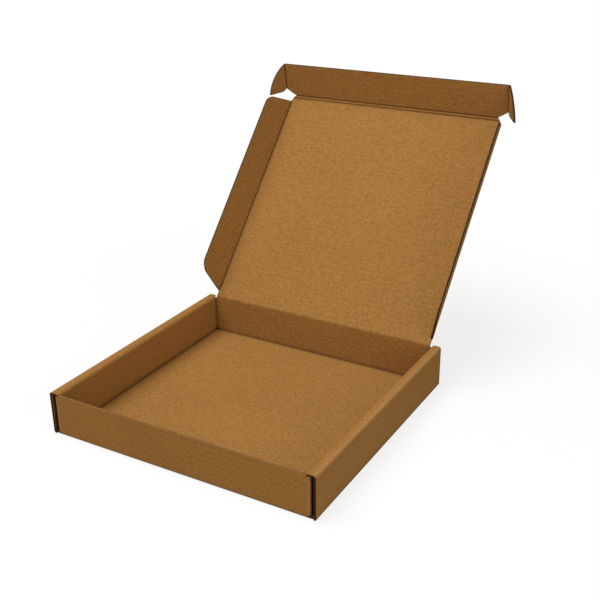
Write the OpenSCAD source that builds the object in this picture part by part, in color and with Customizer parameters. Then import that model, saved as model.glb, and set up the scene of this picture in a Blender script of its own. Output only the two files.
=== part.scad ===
// Roll-end mailer box, die-cut from one sheet of corrugated board and shown open.
// The tray stands on z = 0 with the middle of its base at the origin, front towards -Y.

/* [Board] */
// Thickness of the corrugated board
board_t = 2.8; // [2.2:0.1:3.4]
// Outer radius of a folded edge
fold_r = 2; // [1:0.1:2.2]
// Height of the thin web that is left at a moving crease
score_web = 0.3; // [0.2:0.05:0.6]
// Distance from a crease line to the board on either side of it
score_gap = 0.2; // [0.15:0.05:0.5]
// Slope of the crushed board beside a crease
score_slope = 36; // [32:1:37]

/* [Tray] */
// Outer width, left to right
tray_w = 360; // [280:1:440]
// Outer depth, front to back
tray_d = 331; // [240:1:420]
// Height of the side walls
tray_h = 55.5; // [48:0.5:90]
// How far the front wall's top edge lies below the side walls
front_drop = 1.9; // [1:0.1:3]
// Width of the slot for a lock ear at each front corner
slot_w = 4.3; // [3.8:0.1:6]
// Gap between layers of board that lie against each other
layer_gap = 0.2; // [0.1:0.05:0.4]
// Length of the ears that the front and back walls tuck into the side walls
tuck_l = 105; // [60:1:115]

/* [Lock tabs] */
// Length of a tab at the foot of an inner side wall
tab_l = 42; // [20:1:60]
// Distance of each tab from the middle of its wall
tab_y = 82; // [40:1:90]
// Clearance around a tab in its base slot
tab_clear = 0.35; // [0.2:0.05:0.8]

/* [Lid] */
// Opening angle of the lid, from shut
lid_open = 132.5; // [0:0.5:180]
// Gap between the shut lid and the front wall's top edge
lid_gap = 0.3; // [0.2:0.1:1]
// Clearance between a side flap and the inner side wall
lid_clear = 0.6; // [0.4:0.1:2]
// Clearance between the shut lid's front crease and the front wall
front_clear = 0.9; // [0.8:0.1:2]
// How far the front crease stops short of the lid's corners
corner_relief = 2.1; // [2:0.1:5]

/* [Side flaps] */
// Width of a side flap
flap_w = 46; // [30:0.5:46]
// Fold angle of a side flap, from flat
flap_fold = 73; // [0:1:100]
// Distance of a flap's back end from the lid's hinge crease
flap_back = 8; // [5:0.5:20]
// Slant of a flap's back end
back_slant = 22; // [10:1:40]
// Radius of a flap's back corner
back_r = 20; // [8:0.5:24]
// Distance of a flap's front end from the front crease
flap_front = 5.9; // [5.5:0.1:30]
// Slant of a flap's front end
front_slant = 22; // [10:1:30]
// Radius of a flap's front corner
front_r = 16; // [8:0.5:20]

/* [Front panel] */
// Width of the band between the front panel's two score lines
band_w = 4.6; // [4.5:0.1:6]
// How much narrower each end of the band is at the panel than at the lid
band_taper = 4; // [3:0.5:6]
// Fold angle at each of the two score lines, from flat
front_fold = 26; // [0:1:45]
// Height of the front panel above its score line
panel_h = 47.75; // [42:0.25:48.5]
// Height at which an ear's crease starts above the panel's score line
relief_h = 9.75; // [8:0.25:14]

/* [Lock ears] */
// Reach of a lock ear
ear_w = 29; // [20:0.5:32]
// Fold angle of a lock ear, from flat
ear_fold = 57; // [0:1:90]
// Height of an ear's lower edge above the panel's score line
ear_low = 5.75; // [5.5:0.25:7.5]
// Width of the slanted cut at an ear's root
ear_root = 7; // [3:0.5:10]
// How far below the panel's score line the centre of an ear's curve lies
ear_centre_drop = 4.25; // [2:0.25:6]

/* [Hidden] */
$fn = 64;
kraft = [0.62, 0.45, 0.25];
kraft_shade = [0.55, 0.39, 0.2];

// Layers of a side wall, from its outer face inwards
slot_in = board_t + slot_w;
inner_out = slot_in + board_t + layer_gap;
side_s = inner_out + board_t;

// Half sizes and heights of the tray
half_w = tray_w / 2;
half_d = tray_d / 2;
wall_half = half_w - slot_in;
strip_z = tray_h - board_t;
shoulder_z = strip_z - layer_gap;
front_h = tray_h - front_drop;

// Places of the moving creases, all in the middle of the board
hinge_y = half_d - board_t / 2;
hinge_z = front_h + lid_gap + board_t / 2;
flap_x = half_w - side_s - lid_clear - board_t / 2;
lid_l = hinge_y + half_d + front_clear;
band_half = flap_x - corner_relief;
panel_half = band_half - band_taper;
ear_x = half_w - board_t - slot_w / 2;
flap_end = lid_l - flap_front;

// Length along the board of the slope beside a crease, and overshoot of cuts
cut_l = score_gap + (board_t - score_web) / 2 / tan(score_slope);
over = 1;

// Centre and radius of an ear's curve, through the panel's free corner and the ear's widest point
ear_top_rise = panel_h + ear_centre_drop;
ear_low_rise = ear_low + ear_centre_drop;
ear_centre_w = (pow(ear_top_rise, 2) - pow(ear_low_rise, 2) - pow(ear_w, 2)) / (2 * ear_w);
ear_r = norm([ear_centre_w, ear_top_rise]);

// Cross-section of what a crease takes off the board that starts at it, board towards +X
module score_section() {
    difference() {
        translate([-board_t, -board_t])
            square([board_t + cut_l, 2 * board_t]);
        polygon([
            [score_gap, -score_web / 2],
            [cut_l, -board_t / 2],
            [cut_l + over, 0],
            [cut_l, board_t / 2],
            [score_gap, score_web / 2]
        ]);
    }
}

// Crease cut from the origin along +Y, for board that lies towards +X
module score_cut(length) {
    translate([0, length, 0])
        rotate([90, 0, 0])
            linear_extrude(length)
                score_section();
}

// Crease cut along X, centred on the origin, for board that lies towards +Y
module cross_score_cut(half) {
    translate([half, 0, 0])
        rotate([0, 0, 90])
            score_cut(2 * half);
}

// Sheet of board in the XY plane with its middle at z = 0
module board() {
    translate([0, 0, -board_t / 2])
        linear_extrude(board_t)
            children();
}

// What rounding takes off the corner p between the unit directions a and b
module corner_off(p, a, b, r) {
    half = acos(a * b) / 2;
    reach = r / tan(half);
    centre = p + (a + b) / norm(a + b) * r / sin(half);
    difference() {
        polygon([p - (a + b) * over, p + a * reach, p + b * reach]);
        translate(centre)
            circle(r);
    }
}

// Rounded quarter of a fold, outer faces on the X and Y axes
module fold_quarter() {
    intersection() {
        translate([fold_r, fold_r])
            circle(fold_r);
        square(fold_r);
    }
}

// Section of a wall folded up from the base: outer face at x = 0, base towards +X
module wall_section(h) {
    fold_quarter();
    translate([0, fold_r])
        square([board_t, h - fold_r]);
    translate([fold_r, 0])
        square([2 * board_t - fold_r, board_t]);
}

// Section of the roll-over top, which bridges the slot and the tucked ears
module strip_section() {
    translate([0, strip_z])
        intersection() {
            square([side_s, board_t]);
            union() {
                square([side_s, board_t - fold_r]);
                translate([fold_r, 0])
                    square([side_s - 2 * fold_r, board_t]);
                for (x = [fold_r, side_s - fold_r])
                    translate([x, board_t - fold_r])
                        circle(fold_r);
            }
        }
}

// Extrudes a section of the left side along Y, centred on the middle of the box
module along_side(half) {
    translate([-half_w, half, 0])
        rotate([90, 0, 0])
            linear_extrude(2 * half)
                children();
}

// Left side: outer wall and roll-over run the full depth, the inner wall stands between front and back
module side_wall() {
    along_side(half_d) {
        wall_section(strip_z);
        strip_section();
    }
    along_side(half_d - board_t - layer_gap)
        translate([inner_out, board_t + layer_gap])
            square([board_t, strip_z - board_t - layer_gap]);
    for (side = [-1, 1])
        translate([-half_w + inner_out, side * tab_y - tab_l / 2, layer_gap])
            cube([board_t, tab_l, 2 * board_t]);
}

// Slots in the base for the lock tabs of the left side
module tab_slots() {
    for (side = [-1, 1])
        translate([-half_w + inner_out - tab_clear, side * tab_y - tab_l / 2 - tab_clear, -over])
            cube([board_t + 2 * tab_clear, tab_l + 2 * tab_clear, board_t + 2 * over]);
}

// Front wall, folded up from the base and stepped down under the roll-over tops
module end_wall(top) {
    for (step = [[wall_half - fold_r, shoulder_z], [half_w - side_s - layer_gap, top]])
        translate([-step[0], -half_d, 0])
            rotate([90, 0, 90])
                linear_extrude(2 * step[0])
                    wall_section(step[1]);
}

// Ear that the front wall tucks between the layers of the left side wall
module tuck_ear() {
    translate([-wall_half, -half_d, board_t + layer_gap])
        linear_extrude(shoulder_z - board_t - layer_gap) {
            fold_quarter();
            translate([0, fold_r])
                square([board_t, tuck_l - fold_r]);
            translate([fold_r, 0])
                square([board_t, board_t]);
        }
}

// Top of the back wall, up to the lid's hinge crease
module hinge_edge() {
    difference() {
        translate([-flap_x, half_d - board_t, shoulder_z - board_t])
            cube([2 * flap_x, board_t, hinge_z + board_t - shoulder_z]);
        translate([0, hinge_y, hinge_z])
            rotate([-90, 0, 0])
                cross_score_cut(flap_x + over);
    }
}

// Places its children in the lid's plane: Y runs from the hinge to the front, +Z is the inside
module on_lid() {
    translate([0, hinge_y, hinge_z])
        rotate([180 - lid_open, 0, 0])
            children();
}

// Places its children in the crease band's plane: Y runs from the lid to the front panel
module on_band() {
    on_lid()
        translate([0, lid_l, 0])
            rotate([front_fold, 0, 0])
                children();
}

// Places its children in the front panel's plane: Y runs from its score line to the free edge
module on_panel() {
    on_band()
        translate([0, band_w, 0])
            rotate([front_fold, 0, 0])
                children();
}

// Side flap in its own plane: X runs from the crease to the free edge
module flap() {
    back_dir = [-cos(back_slant), -sin(back_slant)];
    front_dir = [-cos(front_slant), sin(front_slant)];
    back_corner = [flap_w, flap_back + flap_w * tan(back_slant)];
    front_corner = [flap_w, flap_end - flap_w * tan(front_slant)];
    difference() {
        board()
            difference() {
                polygon([[0, flap_back], back_corner, front_corner, [0, flap_end]]);
                corner_off(back_corner, back_dir, [0, 1], back_r);
                corner_off(front_corner, front_dir, [0, -1], front_r);
            }
        score_cut(lid_l);
    }
}

// Lock ear in its own plane: X runs from the crease outwards, Y as in the front panel
module ear() {
    difference() {
        board()
            intersection() {
                polygon([
                    [0, relief_h],
                    [ear_root, ear_low],
                    [ear_w + over, ear_low],
                    [ear_w + over, panel_h + over],
                    [0, panel_h + over]
                ]);
                translate([-ear_centre_w, -ear_centre_drop])
                    circle(ear_r, $fn = 160);
            }
        score_cut(2 * panel_h);
    }
}

// Right-hand side flap and lock ear, in place
module flap_in_place() {
    on_lid()
        translate([flap_x, 0, 0])
            rotate([0, -flap_fold, 0])
                flap();
}

module ear_in_place() {
    on_panel()
        translate([ear_x, 0, 0])
            rotate([0, -ear_fold, 0])
                ear();
}

module tray() {
    color(kraft) {
        difference() {
            translate([-half_w + fold_r, -half_d + fold_r, 0])
                cube([tray_w - 2 * fold_r, tray_d - 2 * fold_r, board_t]);
            tab_slots();
            mirror([1, 0, 0])
                tab_slots();
        }
        for (m = [0, 1])
            mirror([m, 0, 0]) {
                side_wall();
                tuck_ear();
                mirror([0, 1, 0])
                    tuck_ear();
            }
        end_wall(front_h);
        mirror([0, 1, 0])
            end_wall(shoulder_z);
        hinge_edge();
    }
}

module lid() {
    color(kraft)
        on_lid()
            difference() {
                board()
                    polygon([
                        [-flap_x, 0],
                        [flap_x, 0],
                        [flap_x, flap_end],
                        [band_half, lid_l],
                        [-band_half, lid_l],
                        [-flap_x, flap_end]
                    ]);
                cross_score_cut(flap_x + over);
                translate([0, lid_l, 0])
                    mirror([0, 1, 0])
                        cross_score_cut(flap_x + over);
                for (m = [0, 1])
                    mirror([m, 0, 0])
                        translate([flap_x, flap_back, 0])
                            mirror([1, 0, 0])
                                score_cut(lid_l);
            }
}

module left_flap() {
    color(kraft_shade)
        mirror([1, 0, 0])
            flap_in_place();
}

module right_flap() {
    color(kraft_shade)
        flap_in_place();
}

module crease_band() {
    color(kraft)
        on_band()
            difference() {
                board()
                    polygon([
                        [-band_half, 0],
                        [band_half, 0],
                        [panel_half, band_w],
                        [-panel_half, band_w]
                    ]);
                cross_score_cut(band_half + over);
                translate([0, band_w, 0])
                    mirror([0, 1, 0])
                        cross_score_cut(band_half + over);
            }
}

module front_panel() {
    color(kraft)
        on_panel()
            difference() {
                board()
                    polygon([
                        [-panel_half, 0],
                        [panel_half, 0],
                        [ear_x, relief_h],
                        [ear_x, panel_h],
                        [-ear_x, panel_h],
                        [-ear_x, relief_h]
                    ]);
                cross_score_cut(panel_half + over);
                for (m = [0, 1])
                    mirror([m, 0, 0])
                        translate([ear_x, 0, 0])
                            mirror([1, 0, 0])
                                score_cut(2 * panel_h);
            }
}

module left_ear() {
    color(kraft_shade)
        mirror([1, 0, 0])
            ear_in_place();
}

module right_ear() {
    color(kraft_shade)
        ear_in_place();
}

tray();
lid();
left_flap();
right_flap();
crease_band();
front_panel();
left_ear();
right_ear();
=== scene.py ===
import math

import bmesh
import bpy
from mathutils import Matrix, Vector
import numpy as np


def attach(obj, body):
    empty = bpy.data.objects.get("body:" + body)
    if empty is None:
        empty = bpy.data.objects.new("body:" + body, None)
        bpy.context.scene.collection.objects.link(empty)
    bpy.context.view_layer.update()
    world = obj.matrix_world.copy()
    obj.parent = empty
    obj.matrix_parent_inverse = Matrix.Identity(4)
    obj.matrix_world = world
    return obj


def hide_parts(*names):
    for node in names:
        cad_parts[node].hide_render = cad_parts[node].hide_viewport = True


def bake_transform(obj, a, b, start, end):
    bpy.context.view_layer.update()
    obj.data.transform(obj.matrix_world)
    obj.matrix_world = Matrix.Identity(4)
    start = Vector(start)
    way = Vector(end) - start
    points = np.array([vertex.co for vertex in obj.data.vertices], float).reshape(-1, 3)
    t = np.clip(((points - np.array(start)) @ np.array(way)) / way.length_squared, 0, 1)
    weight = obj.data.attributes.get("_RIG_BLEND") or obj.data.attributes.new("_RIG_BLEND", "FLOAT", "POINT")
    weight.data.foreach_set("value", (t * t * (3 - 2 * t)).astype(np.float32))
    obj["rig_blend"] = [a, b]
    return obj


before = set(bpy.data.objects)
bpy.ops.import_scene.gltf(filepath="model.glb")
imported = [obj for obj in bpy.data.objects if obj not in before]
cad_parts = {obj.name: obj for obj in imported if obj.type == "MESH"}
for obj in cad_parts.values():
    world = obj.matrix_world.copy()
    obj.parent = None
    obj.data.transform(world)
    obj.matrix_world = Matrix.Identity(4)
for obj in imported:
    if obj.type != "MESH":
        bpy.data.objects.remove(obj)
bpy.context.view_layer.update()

# Tray
# The lower half of one die-cut sheet of brown corrugated board, folded up without glue. The side walls roll
# over inwards, lock into slots in the base with tabs, and hold the ears of the front and back walls between
# their layers. A slot stays open at each front corner for the lid's lock ears.
BOARD = 0.0028
FLUTE = 0.0070
tray_half = Vector((0.180, 0.1655))
tray_h = 0.0555
front_h = 0.0536
shoulder_h = 0.0521
fold_radius, fold_reach = 0.0030, 0.0021
strip_w = 0.0129
roll_radius, roll_reach = 0.0045, 0.0049
# How far the painted crease shade and the paler fold line fade out past a crease, wider where the base meets
# its front and back walls
shade_and_wear_fade, end_shade_and_wear_fade = 0.0022, 0.0036
blank_half = 0.5
liner_slot, cut_slot, crushed_slot = 0, 1, 2
sharp_from = math.radians(35)
TINY = 1e-6


def kraft_nodes(name, roughness, bump_distance):
    """A new board material with its place on the sheet: across the box, along it, and through the board."""
    material = bpy.data.materials.new(name)
    material.use_nodes = True
    tree = material.node_tree
    shader = tree.nodes["Principled BSDF"]
    shader.inputs["Roughness"].default_value = roughness
    shader.inputs["Specular IOR Level"].default_value = 0.25
    sheet = tree.nodes.new("ShaderNodeAttribute")
    sheet.attribute_name = "sheet"
    split = tree.nodes.new("ShaderNodeSeparateXYZ")
    tree.links.new(sheet.outputs["Vector"], split.inputs[0])
    bump = tree.nodes.new("ShaderNodeBump")
    bump.inputs["Strength"].default_value = 1.0
    bump.inputs["Distance"].default_value = bump_distance
    tree.links.new(bump.outputs[0], shader.inputs["Normal"])

    def node(kind, inputs=(), **settings):
        """A new node with its settings, and its inputs set or linked."""
        made = tree.nodes.new("ShaderNode" + kind)
        for key, value in settings.items():
            setattr(made, key, value)
        for key, value in dict(inputs).items():
            if isinstance(value, bpy.types.NodeSocket):
                tree.links.new(value, made.inputs[key])
            else:
                made.inputs[key].default_value = value
        return made

    def math_node(operation, a, b=0.0, c=0.0, clamp=False):
        """What a Math node gives."""
        return node("Math", {0: a, 1: b, 2: c}, operation=operation, use_clamp=clamp).outputs[0]

    def noise(scale, detail, squash):
        """Noise on the sheet, drawn out along it where a squash is below one."""
        drawn = node("Mapping", {"Vector": sheet.outputs["Vector"], "Scale": squash})
        return node("TexNoise", {"Vector": drawn.outputs[0], "Scale": scale, "Detail": detail}).outputs[0]

    def mix(amount, a, b):
        """A mix of two colours, all of the second where the amount is one."""
        return node("Mix", {0: amount, 6: a, 7: b}, data_type="RGBA").outputs[2]

    return material, tree, shader, split, bump, node, math_node, noise, mix


def make_liner():
    """Brown kraft liner: fine mottle, short fibres, faint flutes with painted shade along them, painted shade
    in creases and shut-in places, and a paler line, stretched paper and painted highlight, on the outside of
    folds.
    """
    made = kraft_nodes("kraft_liner", 0.85, 0.00010)
    material, tree, shader, split, bump, node, math_node, noise, mix = made
    dark_kraft, pale_kraft = (0.268, 0.123, 0.027, 1), (0.400, 0.196, 0.050, 1)
    speck_brown, wear_and_highlight_pale = (0.150, 0.062, 0.016, 1), (0.480, 0.270, 0.110, 1)
    crease_shade_dark, corner_shade_dark = (0.085, 0.032, 0.008, 1), (0.030, 0.010, 0.003, 1)
    speck_from, speck_gain, speck_share = 0.69, 6.0, 0.35
    mottle_tone, fibre_tone, cloud_tone, flute_shade_tone, tone_offset = 1.25, 0.40, 0.22, 0.038, 0.435
    wear_and_highlight_share, crease_shade_share = 0.25, 0.70
    corner_shade_reach, corner_shade_power, corner_shade_gain = 0.008, 2.0, 1.8
    mottle_height, fibre_height, flute_height = 0.30, 0.25, 0.10
    clouds = noise(7.0, 2.0, (1, 1, 0.01))
    mottle = noise(430.0, 3.0, (0.7, 1, 0.01))
    fibres = noise(1100.0, 3.0, (0.12, 1, 0.01))
    specks = math_node("SUBTRACT", noise(310.0, 2.0, (0.5, 1, 0.01)), speck_from, clamp=True)
    specks = math_node("MULTIPLY", specks, speck_gain, clamp=True)
    flutes = math_node("SINE", math_node("MULTIPLY", split.outputs[1], 2 * math.pi / FLUTE))
    tone = math_node("MULTIPLY_ADD", mottle, mottle_tone, math_node("MULTIPLY", fibres, fibre_tone))
    tone = math_node("MULTIPLY_ADD", clouds, cloud_tone, tone)
    # Faint bands along the flutes: painted shade of their ridges
    tone = math_node("MULTIPLY_ADD", flutes, flute_shade_tone, tone)
    ramp = node("ValToRGB", {0: math_node("SUBTRACT", tone, tone_offset)})
    ramp.color_ramp.elements[0].position = 0.24
    ramp.color_ramp.elements[0].color = dark_kraft
    ramp.color_ramp.elements[1].position = 0.76
    ramp.color_ramp.elements[1].color = pale_kraft
    colour = mix(math_node("MULTIPLY", specks, speck_share), ramp.outputs[0], speck_brown)
    fold = node("Attribute", attribute_name="fold").outputs["Fac"]
    # Paler on the outside of folds: stretched paper, and partly a painted highlight
    outside = math_node("LESS_THAN", split.outputs[2], 0.5)
    wear_and_highlight = math_node("MULTIPLY", math_node("MULTIPLY", fold, outside), wear_and_highlight_share)
    colour = mix(wear_and_highlight, colour, wear_and_highlight_pale)
    # Painted shade on the inside liner along folds, at the level the fold mark gives
    inside = math_node("SUBTRACT", 1.0, outside)
    press_and_shade = math_node("MULTIPLY", math_node("MULTIPLY", fold, inside), crease_shade_share)
    colour = mix(press_and_shade, colour, crease_shade_dark)
    # Painted shade in corners, slots and other shut-in places, darker the less open air there is around
    open_air = node("AmbientOcclusion", {"Distance": corner_shade_reach}, samples=8).outputs["AO"]
    shut_in = math_node("POWER", math_node("SUBTRACT", 1.0, open_air), corner_shade_power)
    corner = math_node("MULTIPLY", shut_in, corner_shade_gain, clamp=True)
    colour = mix(corner, colour, corner_shade_dark)
    tree.links.new(colour, shader.inputs["Base Color"])
    height = math_node("MULTIPLY_ADD", mottle, mottle_height, math_node("MULTIPLY", fibres, fibre_height))
    height = math_node("MULTIPLY_ADD", flutes, flute_height, height)
    tree.links.new(height, bump.inputs["Height"])
    return material


def make_cut_edge():
    """Cut edge of the board: two liners, the wavy middle layer where the cut crosses it, and painted shade in
    the hollows.
    """
    made = kraft_nodes("board_cut_edge", 0.9, 0.0002)
    material, tree, shader, split, bump, _, math_node, noise, mix = made
    hollow_shade = (0.022, 0.009, 0.003, 1)
    fibre_dark, fibre_pale = (0.130, 0.060, 0.020, 1), (0.300, 0.150, 0.055, 1)
    liner_from, wave_height, medium_half, medium_rough = 0.42, 0.34, 0.02, 0.10
    # At this phase the cut at the side walls' front ends runs along a hollow, so it shows as a band of
    # painted shade
    cut_phase = 2.468
    depth = split.outputs[2]
    centred = math_node("ABSOLUTE", math_node("SUBTRACT", depth, 0.5))
    liners = math_node("GREATER_THAN", centred, liner_from)
    rough = noise(700.0, 2.0, (1, 1, 0.001))
    turn = math_node("MULTIPLY_ADD", split.outputs[1], 2 * math.pi / FLUTE, cut_phase)
    wave = math_node("MULTIPLY_ADD", math_node("SINE", turn), wave_height, 0.5)
    off_wave = math_node("ABSOLUTE", math_node("SUBTRACT", depth, wave))
    medium = math_node("LESS_THAN", off_wave, math_node("MULTIPLY_ADD", rough, medium_rough, medium_half))
    paper = math_node("MAXIMUM", liners, medium)
    # Between the paper layers the hollows are painted dark as shade
    colour = mix(paper, hollow_shade, mix(rough, fibre_dark, fibre_pale))
    tree.links.new(colour, shader.inputs["Base Color"])
    tree.links.new(math_node("MULTIPLY_ADD", rough, 0.4, paper), bump.inputs["Height"])
    return material


def make_crushed_edge():
    """Edge that the die pressed shut, so that no hollows show: a rough strip of torn fibres."""
    made = kraft_nodes("board_crushed_edge", 0.9, 0.0002)
    material, tree, shader, _, bump, _, _, noise, mix = made
    torn_dark, torn_pale = (0.130, 0.058, 0.018, 1), (0.330, 0.160, 0.052, 1)
    rough = noise(600.0, 3.0, (0.4, 1, 0.001))
    colour = mix(rough, torn_dark, torn_pale)
    tree.links.new(colour, shader.inputs["Base Color"])
    tree.links.new(rough, bump.inputs["Height"])
    return material


liner = make_liner()
cut_edge = make_cut_edge()
crushed_edge = make_crushed_edge()


def score_lines(bm, xs=(), ys=()):
    """Divides the flat sheet along lines that cross it."""
    for axis, places in ((0, xs), (1, ys)):
        for place in sorted(set(round(p, 7) for p in places)):
            point, normal = Vector((0, 0, 0)), Vector((0, 0, 0))
            point[axis], normal[axis] = place, 1
            bmesh.ops.bisect_plane(
                bm, geom=bm.verts[:] + bm.edges[:] + bm.faces[:], plane_co=point, plane_no=normal, dist=1e-7
            )


def stretch(start, length, count):
    """Evenly spaced places from start over length."""
    return [start + length * i / count for i in range(count + 1)]


def both(values):
    """The same places on both sides of the middle."""
    return [s * v for v in values for s in (-1, 1)]


def give_thickness(bm, offset=(0, 0)):
    """Turns the flat sheet into board, outside liner at z = 0, and notes each point's place on the sheet."""
    raised = bmesh.ops.extrude_face_region(bm, geom=bm.faces[:], use_keep_orig=True)
    top = [v for v in raised["geom"] if isinstance(v, bmesh.types.BMVert)]
    bmesh.ops.translate(bm, verts=top, vec=(0, 0, BOARD))
    bmesh.ops.recalc_face_normals(bm, faces=bm.faces[:])
    sheet = bm.verts.layers.float_vector.new("sheet")
    bm.verts.layers.float.new("fold")
    for v in bm.verts:
        v[sheet] = (v.co.x + offset[0], v.co.y + offset[1], v.co.z / BOARD)
    for f in bm.faces:
        f.material_index = liner_slot if abs(f.normal.z) > 0.5 else cut_slot


def fold_up(bm, axis, side, start, where, radius=fold_radius, reach=fold_reach, shade_and_wear=1.0):
    """Folds all past a crease up by a right angle, inside liner inwards, and marks the bend at the given
    level for painted shade on the inside liner and a paler line on the outside.
    """
    sheet = bm.verts.layers.float_vector["sheet"]
    fold = bm.verts.layers.float["fold"]
    for v in bm.verts:
        past = side * v[sheet][axis] - start
        if past < -TINY or not where(abs(v[sheet][0]), abs(v[sheet][1])):
            continue
        if past < reach + TINY:
            v[fold] = shade_and_wear
        p, h = side * v.co[axis] - start, v.co.z
        if past < reach - TINY:
            turn = math.pi / 2 * max(0.0, past) / reach
            p, h = (radius - h) * math.sin(turn), radius - (radius - h) * math.cos(turn)
        else:
            p, h = radius - h, radius + p - reach
        v.co[axis], v.co.z = side * (start + p), h


def finish_board(bm, name):
    """Makes the board's mesh an object with the board's materials and soft shading round its folds."""
    mesh = bpy.data.meshes.new(name)
    bm.to_mesh(mesh)
    bm.free()
    for material in (liner, cut_edge, crushed_edge):
        mesh.materials.append(material)
    mesh.shade_smooth()
    mesh.set_sharp_from_angle(angle=sharp_from)
    piece = bpy.data.objects.new(name, mesh)
    bpy.context.scene.collection.objects.link(piece)
    return piece


side_crease = tray_half.x - fold_radius
strip_crease = side_crease + fold_reach + tray_h - 2 * fold_radius
inner_crease = strip_crease + fold_reach + strip_w - fold_radius - roll_radius
roll_end = inner_crease + roll_reach / 2
inner_low, tab_l = 0.0036, 0.0032
inner_foot = inner_crease + roll_reach + tray_h - roll_radius - inner_low
tab_foot = inner_foot + tab_l
wall_room = 0.0003
inner_end = tray_half.y - BOARD - wall_room
end_crease = tray_half.y - fold_radius
wall_up = end_crease + fold_reach - fold_radius
slot_w, tucked_l, tucked_low = 0.0043, 0.102, 0.0042
ear_crease = tray_half.x - BOARD - slot_w - fold_radius
ear_end = ear_crease + fold_reach + tucked_l
ear_low, ear_top = wall_up + tucked_low, wall_up + shoulder_h
fold_steps, roll_steps = 6, 10
base_corner, base_front = ear_crease + fold_reach / fold_steps, end_crease + fold_reach / 2
strip_half = 0.1682
front_top = wall_up + front_h
hinge_half, hinge_y, hinge_z, bend_half = 0.1651, 0.1641, 0.0553, 0.0020
back_top = wall_up + hinge_z - bend_half
tab_y, tab_half, tab_room = 0.082, 0.021, 0.00035
tab_from, tab_to = tab_y - tab_half, tab_y + tab_half
tab_in = tray_half.x - strip_w
tab_out = tab_in + BOARD
across_lines, along_lines = both(stretch(0.0, 0.16, 8)), both(stretch(0.0, 0.15, 8))


def in_blank(x, y):
    """Whether a place on the flat sheet is board: base, walls, their ears and tabs, less the tab slots."""
    ax, ay = abs(x), abs(y)
    near_tab = tab_from - tab_room < ay < tab_to + tab_room
    if near_tab and tab_in - tab_room < ax < tab_out + tab_room:
        return False
    if ax < side_crease and ay < end_crease:
        return True
    if base_corner < ax < side_crease and ay < base_front:
        return True
    if side_crease < ax < roll_end and ay < tray_half.y:
        return True
    if inner_crease <= ax < inner_foot and ay < inner_end:
        return True
    if inner_foot <= ax < tab_foot and tab_from < ay < tab_to:
        return True
    if ay > end_crease and ax < ear_crease:
        if y < 0:
            return ay < (front_top if ax < strip_half else ear_top)
        return ay < (back_top if ax < hinge_half else ear_top)
    return ear_low < ay < ear_top and ear_crease <= ax < ear_end


def on_side(x, y):
    """On a side wall, its roll-over strip or its inner wall."""
    return y < tray_half.y + TINY and x > ear_crease


def on_ear(x, y):
    """On a front or back wall or its ears, above the ears' lower edge."""
    return y > ear_low - TINY


def on_end(x, y):
    """On a front or back wall or its ears."""
    return x < ear_crease + TINY or on_ear(x, y)


bm = bmesh.new()
bmesh.ops.create_grid(bm, x_segments=1, y_segments=1, size=blank_half)
side_folds = stretch(inner_crease, roll_reach, roll_steps)
for crease in (side_crease, strip_crease, ear_crease):
    side_folds += stretch(crease, fold_reach, fold_steps)
for crease in (strip_crease, ear_crease):
    side_folds += [crease - shade_and_wear_fade, crease + fold_reach + shade_and_wear_fade]
side_cuts = [inner_foot, tab_foot, ear_end, strip_half, hinge_half, tab_in - tab_room, tab_out + tab_room]
end_folds = stretch(end_crease, fold_reach, fold_steps)
end_folds += [end_crease - end_shade_and_wear_fade, end_crease + fold_reach + end_shade_and_wear_fade]
end_cuts = [tray_half.y, inner_end, ear_low, ear_top]
end_cuts += [tab_from, tab_to, tab_from - tab_room, tab_to + tab_room]
score_lines(
    bm,
    both(side_folds + side_cuts) + across_lines,
    both(end_folds + end_cuts) + along_lines + [-front_top, back_top],
)
waste = [f for f in bm.faces if not in_blank(*f.calc_center_median().xy)]
bmesh.ops.delete(bm, geom=waste, context="FACES")
give_thickness(bm)
for f in bm.faces:
    if f.material_index == cut_slot and abs(f.calc_center_median().y + front_top) < TINY:
        f.material_index = crushed_slot
for side in (-1, 1):
    fold_up(bm, 0, side, inner_crease, on_side, roll_radius, roll_reach, shade_and_wear=0.0)
    for crease in (strip_crease, side_crease):
        fold_up(bm, 0, side, crease, on_side)
    fold_up(bm, 0, side, ear_crease, on_ear)
for side in (-1, 1):
    fold_up(bm, 1, side, end_crease, on_end)
tray = finish_board(bm, "tray_board")
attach(tray, "tray")
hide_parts("tray")

# Lid
# The sheet's upper half, one flat panel that hangs on the back wall's crease. It leans back past upright, its
# side edges end in the flap creases, and its front corners are cut off beside the front crease.
lid_l = 0.3305
flap_x = 0.1651
flap_back, flap_front = 0.0080, 0.3246
band_half = 0.1630
front_bend = 0.0017
lid_tilt = math.radians(47.5)
lid_frame = Matrix.Translation((0, hinge_y, hinge_z)) @ Matrix.Rotation(lid_tilt, 4, "X")
lid_sheet_y = wall_up + hinge_z
lid_lines = stretch(0.02, 0.30, 12)


def trim(bm, point, normal):
    """Cuts the flat sheet straight through a point and drops the side that the normal points to."""
    bmesh.ops.bisect_plane(
        bm, geom=bm.verts[:] + bm.edges[:] + bm.faces[:], plane_co=(*point, 0), plane_no=(*normal, 0),
        clear_outer=True, dist=1e-7,
    )


def place(bm, matrix):
    """Moves a flat board into a panel's plane, with the plane through the middle of the board."""
    bm.transform(matrix @ Matrix.Translation((0, 0, -BOARD / 2)))


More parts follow.
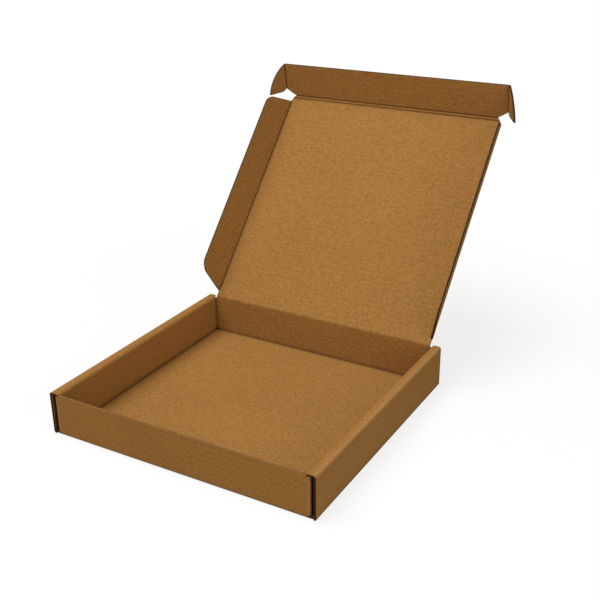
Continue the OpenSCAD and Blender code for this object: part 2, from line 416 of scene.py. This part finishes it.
bm = bmesh.new()
bmesh.ops.create_grid(bm, x_segments=1, y_segments=1, size=blank_half)
score_lines(
    bm,
    both([flap_x, flap_x - bend_half]) + across_lines,
    [bend_half, flap_back, flap_front, lid_l - front_bend] + lid_lines,
)
waste = []
for f in bm.faces:
    c = f.calc_center_median()
    half = flap_x - bend_half if flap_back < c.y < flap_front else flap_x
    if abs(c.x) > half or not bend_half < c.y < lid_l - front_bend:
        waste.append(f)
bmesh.ops.delete(bm, geom=waste, context="FACES")
for side in (-1, 1):
    trim(bm, (side * flap_x, flap_front), (side * (lid_l - flap_front), flap_x - band_half))
give_thickness(bm, (0, lid_sheet_y))
place(bm, lid_frame)
lid = finish_board(bm, "lid_board")
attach(lid, "lid")
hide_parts("lid")

# Moving creases
# Short bends of the same sheet between two panels: the outside liner runs round them unbroken and the inside
# liner is pressed in along the score. They bend with the panels that they join, apart from the flaps' bends.
crease_steps, bend_steps = 24, 10
press_spread, press_depth = 1.6, 0.0005


def make_crease(name, ends, angle, matrix, flat, half):
    """A bend along its crease, folded inwards by the angle between two panels; ends gives its two ends."""
    bm = bmesh.new()
    bmesh.ops.create_grid(bm, x_segments=1, y_segments=1, size=1.0)
    bmesh.ops.scale(bm, verts=bm.verts, vec=(1, half, 1))
    score_lines(bm, stretch(-1, 2, crease_steps)[1:-1], stretch(-half, 2 * half, bend_steps)[1:-1])
    give_thickness(bm)
    sheet = bm.verts.layers.float_vector["sheet"]
    fold = bm.verts.layers.float["fold"]
    radius = half / math.tan(angle / 2)
    for v in bm.verts:
        across = v.co.y
        low, high = sorted(ends(across))
        v.co.x = low + (high - low) * (v.co.x + 1) / 2
        v[sheet] = flat @ Vector((v.co.x, across, v[sheet][2]))
        # The inside liner is dented in along the crease and takes painted shade there; the outside takes the
        # paler fold line
        press_and_shade = min(1.0, press_spread * (1 - abs(across) / half)) if angle > 0 else 0.0
        v[fold] = press_and_shade
        z = v.co.z - BOARD / 2
        if v[sheet][2] > 0.5:
            z -= press_depth * press_and_shade
        turn = angle * (across + half) / (2 * half)
        v.co.y = -half + (radius - z) * math.sin(turn)
        v.co.z = radius - (radius - z) * math.cos(turn)
    bm.transform(matrix)
    return finish_board(bm, name)


def join_panels(crease, first, second, matrix, angle, half):
    """Lets a bend follow its first panel where it starts and its second where it ends."""
    start = matrix @ Vector((0, -half, 0))
    end = matrix @ Vector((0, half * math.cos(angle), half * math.sin(angle)))
    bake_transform(crease, first, second, start=start, end=end)


wall_top = Matrix.Translation((0, hinge_y, hinge_z)) @ Matrix.Rotation(math.pi / 2, 4, "X")
lean = lid_tilt - math.pi / 2
hinge = make_crease(
    "lid_hinge_crease", lambda across: (-hinge_half, hinge_half), lean, wall_top,
    Matrix.Translation((0, lid_sheet_y, 0)), bend_half,
)
join_panels(hinge, "tray", "lid", wall_top, lean, bend_half)

# Side flaps
# Two long flaps on the lid's sides, turned in so that they slide down inside the walls as the lid shuts.
# Their ends are cut at a slant and their corners are rounded. Their bends stay on the lid, and a thin root
# of each flap turns inside its bend.
flap_w = 0.046
flap_fold = math.radians(73)
end_slope = math.tan(math.radians(22))
back_round, front_round, round_steps = 0.0135, 0.0108, 12
flap_across, flap_along = stretch(0.012, 0.03, 3), stretch(0.05, 0.24, 8)
root_l, root_tip, root_foot, root_inset = 0.0026, 0.0010, 0.0018, 0.0008


def place_side(bm, matrix, side):
    """Places a board that was cut for the right side, mirrored for the left."""
    if side < 0:
        sheet = bm.verts.layers.float_vector["sheet"]
        for v in bm.verts:
            v[sheet] = Vector((-v[sheet][0], v[sheet][1], v[sheet][2]))
        bm.transform(Matrix.Scale(-1, 4, (1, 0, 0)) @ matrix @ Matrix.Translation((0, 0, -BOARD / 2)))
        bmesh.ops.reverse_faces(bm, faces=bm.faces[:])
    else:
        place(bm, matrix)


def side_edge(x, side):
    """Where a panel's left or right edge lies, with the crease along X and the panel behind it."""
    return Matrix.Translation((side * x, 0, 0)) @ Matrix.Rotation(-side * math.pi / 2, 4, "Z")


def make_root(name, ends, matrix, flat):
    """The flap's board where it thins and runs on inside the bend, to keep it closed as the flap turns."""
    bm = bmesh.new()
    bmesh.ops.create_grid(bm, x_segments=1, y_segments=1, size=1.0)
    give_thickness(bm)
    sheet = bm.verts.layers.float_vector["sheet"]
    fold = bm.verts.layers.float["fold"]
    low, high = sorted(ends(0))
    for v in bm.verts:
        out = (v.co.y + 1) / 2
        v.co.x = low + root_inset + (high - low - 2 * root_inset) * (v.co.x + 1) / 2
        v.co.y = root_l * out
        v[sheet] = flat @ Vector((v.co.x, v.co.y, v[sheet][2]))
        # The whole root takes painted shade on its inside liner and the paler fold line on its outside
        v[fold] = 1.0
        v.co.z = (v.co.z / BOARD - 0.5) * (root_tip + (root_foot - root_tip) * out)
    bm.transform(matrix)
    return finish_board(bm, name)


for side, name in ((-1, "left"), (1, "right")):
    bm = bmesh.new()
    bmesh.ops.create_grid(bm, x_segments=1, y_segments=1, size=blank_half)
    trim(bm, (bend_half, 0), (-1, 0))
    trim(bm, (flap_w, 0), (1, 0))
    trim(bm, (0, flap_back), (end_slope, -1))
    trim(bm, (0, flap_front), (end_slope, 1))
    outer = sorted((v for v in bm.verts if v.co.x > flap_w - TINY), key=lambda v: v.co.y)
    for corner, cut_back in ((outer[0], back_round), (outer[-1], front_round)):
        bmesh.ops.bevel(
            bm, geom=[corner], affect="VERTICES", offset=cut_back, offset_type="OFFSET",
            segments=round_steps, profile=0.5, material=-1,
        )
    score_lines(bm, flap_across, flap_along)
    give_thickness(bm, (flap_x, lid_sheet_y))
    in_lid = Matrix.Translation((flap_x, 0, 0)) @ Matrix.Rotation(-flap_fold, 4, "Y")
    place_side(bm, lid_frame @ in_lid, side)
    flap = finish_board(bm, name + "_flap_board")
    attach(flap, name + "_flap")
    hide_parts(name + "_flap")
    edge = side_edge(flap_x, side)

    def flap_ends(across):
        """Where the flap starts and ends along its crease, at a distance from the crease."""
        cut = max(0.0, across) * end_slope
        return -side * (flap_back + cut), -side * (flap_front - cut)

    on_sheet = Matrix.Translation((0, lid_sheet_y, 0)) @ edge
    crease = make_crease(name + "_flap_crease", flap_ends, flap_fold, lid_frame @ edge, on_sheet, bend_half)
    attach(crease, "lid")
    along_flap = lid_frame @ edge @ Matrix.Rotation(flap_fold, 4, "X")
    root = make_root(name + "_flap_root", flap_ends, along_flap, on_sheet)
    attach(root, name + "_flap")

# Front panel
# The panel that hangs down outside the front wall when the box is shut, here tipped forward. It joins the lid
# by two score lines with a narrow band between them, and its corners there are cut away beside the ears.
band_w = 0.0046
front_fold = math.radians(26)
panel_half = 0.1590
panel_h = 0.04775
ear_x = 0.17505
relief_h = 0.00975
front_edge = lid_frame @ Matrix.Translation((0, lid_l, 0))
band_frame = front_edge @ Matrix.Rotation(front_fold, 4, "X")
band_edge = band_frame @ Matrix.Translation((0, band_w, 0))
panel_frame = band_edge @ Matrix.Rotation(front_fold, 4, "X")
band_sheet_y = lid_sheet_y + lid_l
panel_sheet_y = band_sheet_y + band_w
panel_across, panel_along = both(stretch(0.0, 0.15, 8)), stretch(relief_h, 0.03, 4)


def front_half(y):
    """Half the sheet's width past the first score line: it narrows to the second and widens again."""
    if y < 0:
        return band_half + y * (band_half - flap_x) / (lid_l - flap_front)
    if y < band_w:
        return band_half + y * (panel_half - band_half) / band_w
    return panel_half + (y - band_w) * (ear_x - panel_half) / relief_h


bm = bmesh.new()
bmesh.ops.create_grid(bm, x_segments=1, y_segments=1, size=blank_half)
trim(bm, (0, front_bend), (0, -1))
trim(bm, (0, band_w - front_bend), (0, 1))
for side in (-1, 1):
    trim(bm, (side * band_half, 0), (side * band_w, band_half - panel_half))
score_lines(bm, panel_across)
give_thickness(bm, (0, band_sheet_y))
place(bm, band_frame)
band = finish_board(bm, "crease_band_board")
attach(band, "crease_band")
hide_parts("crease_band")

bm = bmesh.new()
bmesh.ops.create_grid(bm, x_segments=1, y_segments=1, size=blank_half)
trim(bm, (0, front_bend), (0, -1))
trim(bm, (0, panel_h), (0, 1))
for side in (-1, 1):
    trim(bm, (side * (ear_x - bend_half), 0), (side, 0))
    trim(bm, (side * panel_half, 0), (side * relief_h, panel_half - ear_x))
score_lines(bm, panel_across, panel_along)
give_thickness(bm, (0, panel_sheet_y))
place(bm, panel_frame)
panel = finish_board(bm, "front_panel_board")
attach(panel, "front_panel")
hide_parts("front_panel")

for name, at, first, second, edge in (
    ("lid_front_crease", 0.0, "lid", "crease_band", front_edge),
    ("panel_crease", band_w, "crease_band", "front_panel", band_edge),
):
    crease = make_crease(
        name, lambda across: (-front_half(at + across), front_half(at + across)), front_fold, edge,
        Matrix.Translation((0, band_sheet_y + at, 0)), front_bend,
    )
    join_panels(crease, first, second, edge, front_fold, front_bend)

# Lock ears
# A curved ear at each end of the front panel. It turns in and goes down into the slot at the tray's front
# corner as the panel shuts, and its edge towards the lid is cut away at the root.
ear_w = 0.029
ear_low_edge = 0.00575
ear_root = 0.007
ear_fold = math.radians(57)
curve_drop = 0.00425
rise_top, rise_low = panel_h + curve_drop, ear_low_edge + curve_drop
curve_back = (rise_top ** 2 - rise_low ** 2 - ear_w ** 2) / (2 * ear_w)
curve_radius = math.hypot(curve_back, rise_top)
curve_steps = 200
ear_across, ear_along = stretch(0.008, 0.016, 2), stretch(0.015, 0.03, 3)
for side, name in ((-1, "left"), (1, "right")):
    bm = bmesh.new()
    bmesh.ops.create_circle(bm, cap_ends=True, segments=curve_steps, radius=curve_radius)
    bmesh.ops.translate(bm, verts=bm.verts, vec=(-curve_back, -curve_drop, 0))
    trim(bm, (bend_half, 0), (-1, 0))
    trim(bm, (0, ear_low_edge), (0, -1))
    trim(bm, (0, relief_h), (ear_low_edge - relief_h, -ear_root))
    score_lines(bm, ear_across, ear_along)
    give_thickness(bm, (ear_x, panel_sheet_y))
    in_panel = Matrix.Translation((ear_x, 0, 0)) @ Matrix.Rotation(-ear_fold, 4, "Y")
    place_side(bm, panel_frame @ in_panel, side)
    ear = finish_board(bm, name + "_ear_board")
    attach(ear, name + "_ear")
    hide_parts(name + "_ear")
    edge = side_edge(ear_x, side)

    def ear_ends(across):
        """Where the ear starts and ends along its crease, at a distance from the crease."""
        slope = (ear_low_edge - relief_h) / ear_root if across > 0 else relief_h / (ear_x - panel_half)
        top = math.sqrt(curve_radius ** 2 - (curve_back + max(0.0, across)) ** 2) - curve_drop
        return -side * (relief_h + across * slope), -side * top

    crease = make_crease(
        name + "_ear_crease", ear_ends, ear_fold, panel_frame @ edge,
        Matrix.Translation((0, panel_sheet_y, 0)) @ edge, bend_half,
    )
    join_panels(crease, "front_panel", name + "_ear", panel_frame @ edge, ear_fold, bend_half)

# Studio
# A white floor under a white sky, with a large soft lamp above and smaller ones at the right and in front.
# The camera stands in front of the box and to its right, higher than the lid.
floor_half, floor_drop = 8.0, 0.0002
floor_warm, floor_white = (0.45, 0.41, 0.33, 1), (0.95, 0.95, 0.95, 1)
fade_from, fade_to, near_glow = 0.30, 0.85, 0.80
air_warm, air_white, air_level = (1.0, 0.86, 0.60, 1), (1, 1, 1, 1), 0.20
lamp_aim = Vector((0, 0.1, 0.1))
bm = bmesh.new()
bmesh.ops.create_grid(bm, x_segments=1, y_segments=1, size=floor_half)
bmesh.ops.translate(bm, verts=bm.verts, vec=(0, 0, -floor_drop))
floor_mesh = bpy.data.meshes.new("studio_floor")
bm.to_mesh(floor_mesh)
bm.free()
floor = bpy.data.objects.new("studio_floor", floor_mesh)
bpy.context.scene.collection.objects.link(floor)
floor_paint = bpy.data.materials.new("studio_white")
floor_paint.use_nodes = True
tree = floor_paint.node_tree
paint = tree.nodes["Principled BSDF"]
paint.inputs["Roughness"].default_value = 1.0
paint.inputs["Specular IOR Level"].default_value = 0.0
# The camera sees the floor as white with the box's shadow on it, and the box gets a dim, warm light from it
glow = tree.nodes.new("ShaderNodeEmission")
seen = tree.nodes.new("ShaderNodeLightPath")
tint = tree.nodes.new("ShaderNodeMix")
tint.data_type = "RGBA"
tint.inputs[6].default_value = floor_warm
tint.inputs[7].default_value = floor_white
tree.links.new(seen.outputs["Is Camera Ray"], tint.inputs[0])
tree.links.new(tint.outputs[2], paint.inputs["Base Color"])
# Away from the box the shadow fades into plain white
share = tree.nodes.new("ShaderNodeMath")
share.operation = "MULTIPLY"
blend = tree.nodes.new("ShaderNodeMixShader")
spot = tree.nodes.new("ShaderNodeTexCoord")
away = tree.nodes.new("ShaderNodeVectorMath")
away.operation = "LENGTH"
fade = tree.nodes.new("ShaderNodeMapRange")
fade.interpolation_type = "SMOOTHSTEP"
for key, value in (("From Min", fade_from), ("From Max", fade_to), ("To Min", near_glow), ("To Max", 1.0)):
    fade.inputs[key].default_value = value
tree.links.new(spot.outputs["Object"], away.inputs[0])
tree.links.new(away.outputs["Value"], fade.inputs["Value"])
tree.links.new(fade.outputs[0], share.inputs[1])
tree.links.new(seen.outputs["Is Camera Ray"], share.inputs[0])
tree.links.new(share.outputs[0], blend.inputs[0])
tree.links.new(paint.outputs[0], blend.inputs[1])
tree.links.new(glow.outputs[0], blend.inputs[2])
tree.links.new(blend.outputs[0], tree.nodes["Material Output"].inputs["Surface"])
floor_mesh.materials.append(floor_paint)

# The air is white to the camera, and lights the box with a weak warm glow
world = bpy.data.worlds.new("studio_air")
bpy.context.scene.world = world
world.use_nodes = True
tree = world.node_tree
air = tree.nodes["Background"]
seen = tree.nodes.new("ShaderNodeLightPath")
level = tree.nodes.new("ShaderNodeMath")
level.operation = "MULTIPLY_ADD"
level.inputs[1].default_value = 1.0 - air_level
level.inputs[2].default_value = air_level
tree.links.new(seen.outputs["Is Camera Ray"], level.inputs[0])
tree.links.new(level.outputs[0], air.inputs["Strength"])
tint = tree.nodes.new("ShaderNodeMix")
tint.data_type = "RGBA"
tint.inputs[6].default_value = air_warm
tint.inputs[7].default_value = air_white
tree.links.new(seen.outputs["Is Camera Ray"], tint.inputs[0])
tree.links.new(tint.outputs[2], air.inputs["Color"])

for name, place_at, size, power in (
    ("top_softbox", (-0.90, -0.70, 3.3), 2.6, 113.0),
    ("right_softbox", (2.0, -0.6, 0.9), 1.4, 14.5),
    ("front_softbox", (0.2, -2.2, 0.7), 1.4, 6.0),
):
    lamp = bpy.data.lights.new(name, "AREA")
    lamp.energy = power
    lamp.size = size
    holder = bpy.data.objects.new(name, lamp)
    holder.location = place_at
    holder.rotation_euler = (lamp_aim - Vector(place_at)).to_track_quat("-Z", "Y").to_euler()
    bpy.context.scene.collection.objects.link(holder)

lens = bpy.data.cameras.new("camera")
lens.sensor_width = 36.0
lens.lens = 57.87
camera = bpy.data.objects.new("camera", lens)
camera.location = (0.57695, -0.88059, 0.61477)
camera.rotation_euler = [math.radians(a) for a in (66.0236, 0.5688, 29.7944)]
bpy.context.scene.collection.objects.link(camera)
bpy.context.scene.camera = camera
bpy.context.scene.view_settings.view_transform = "Standard"
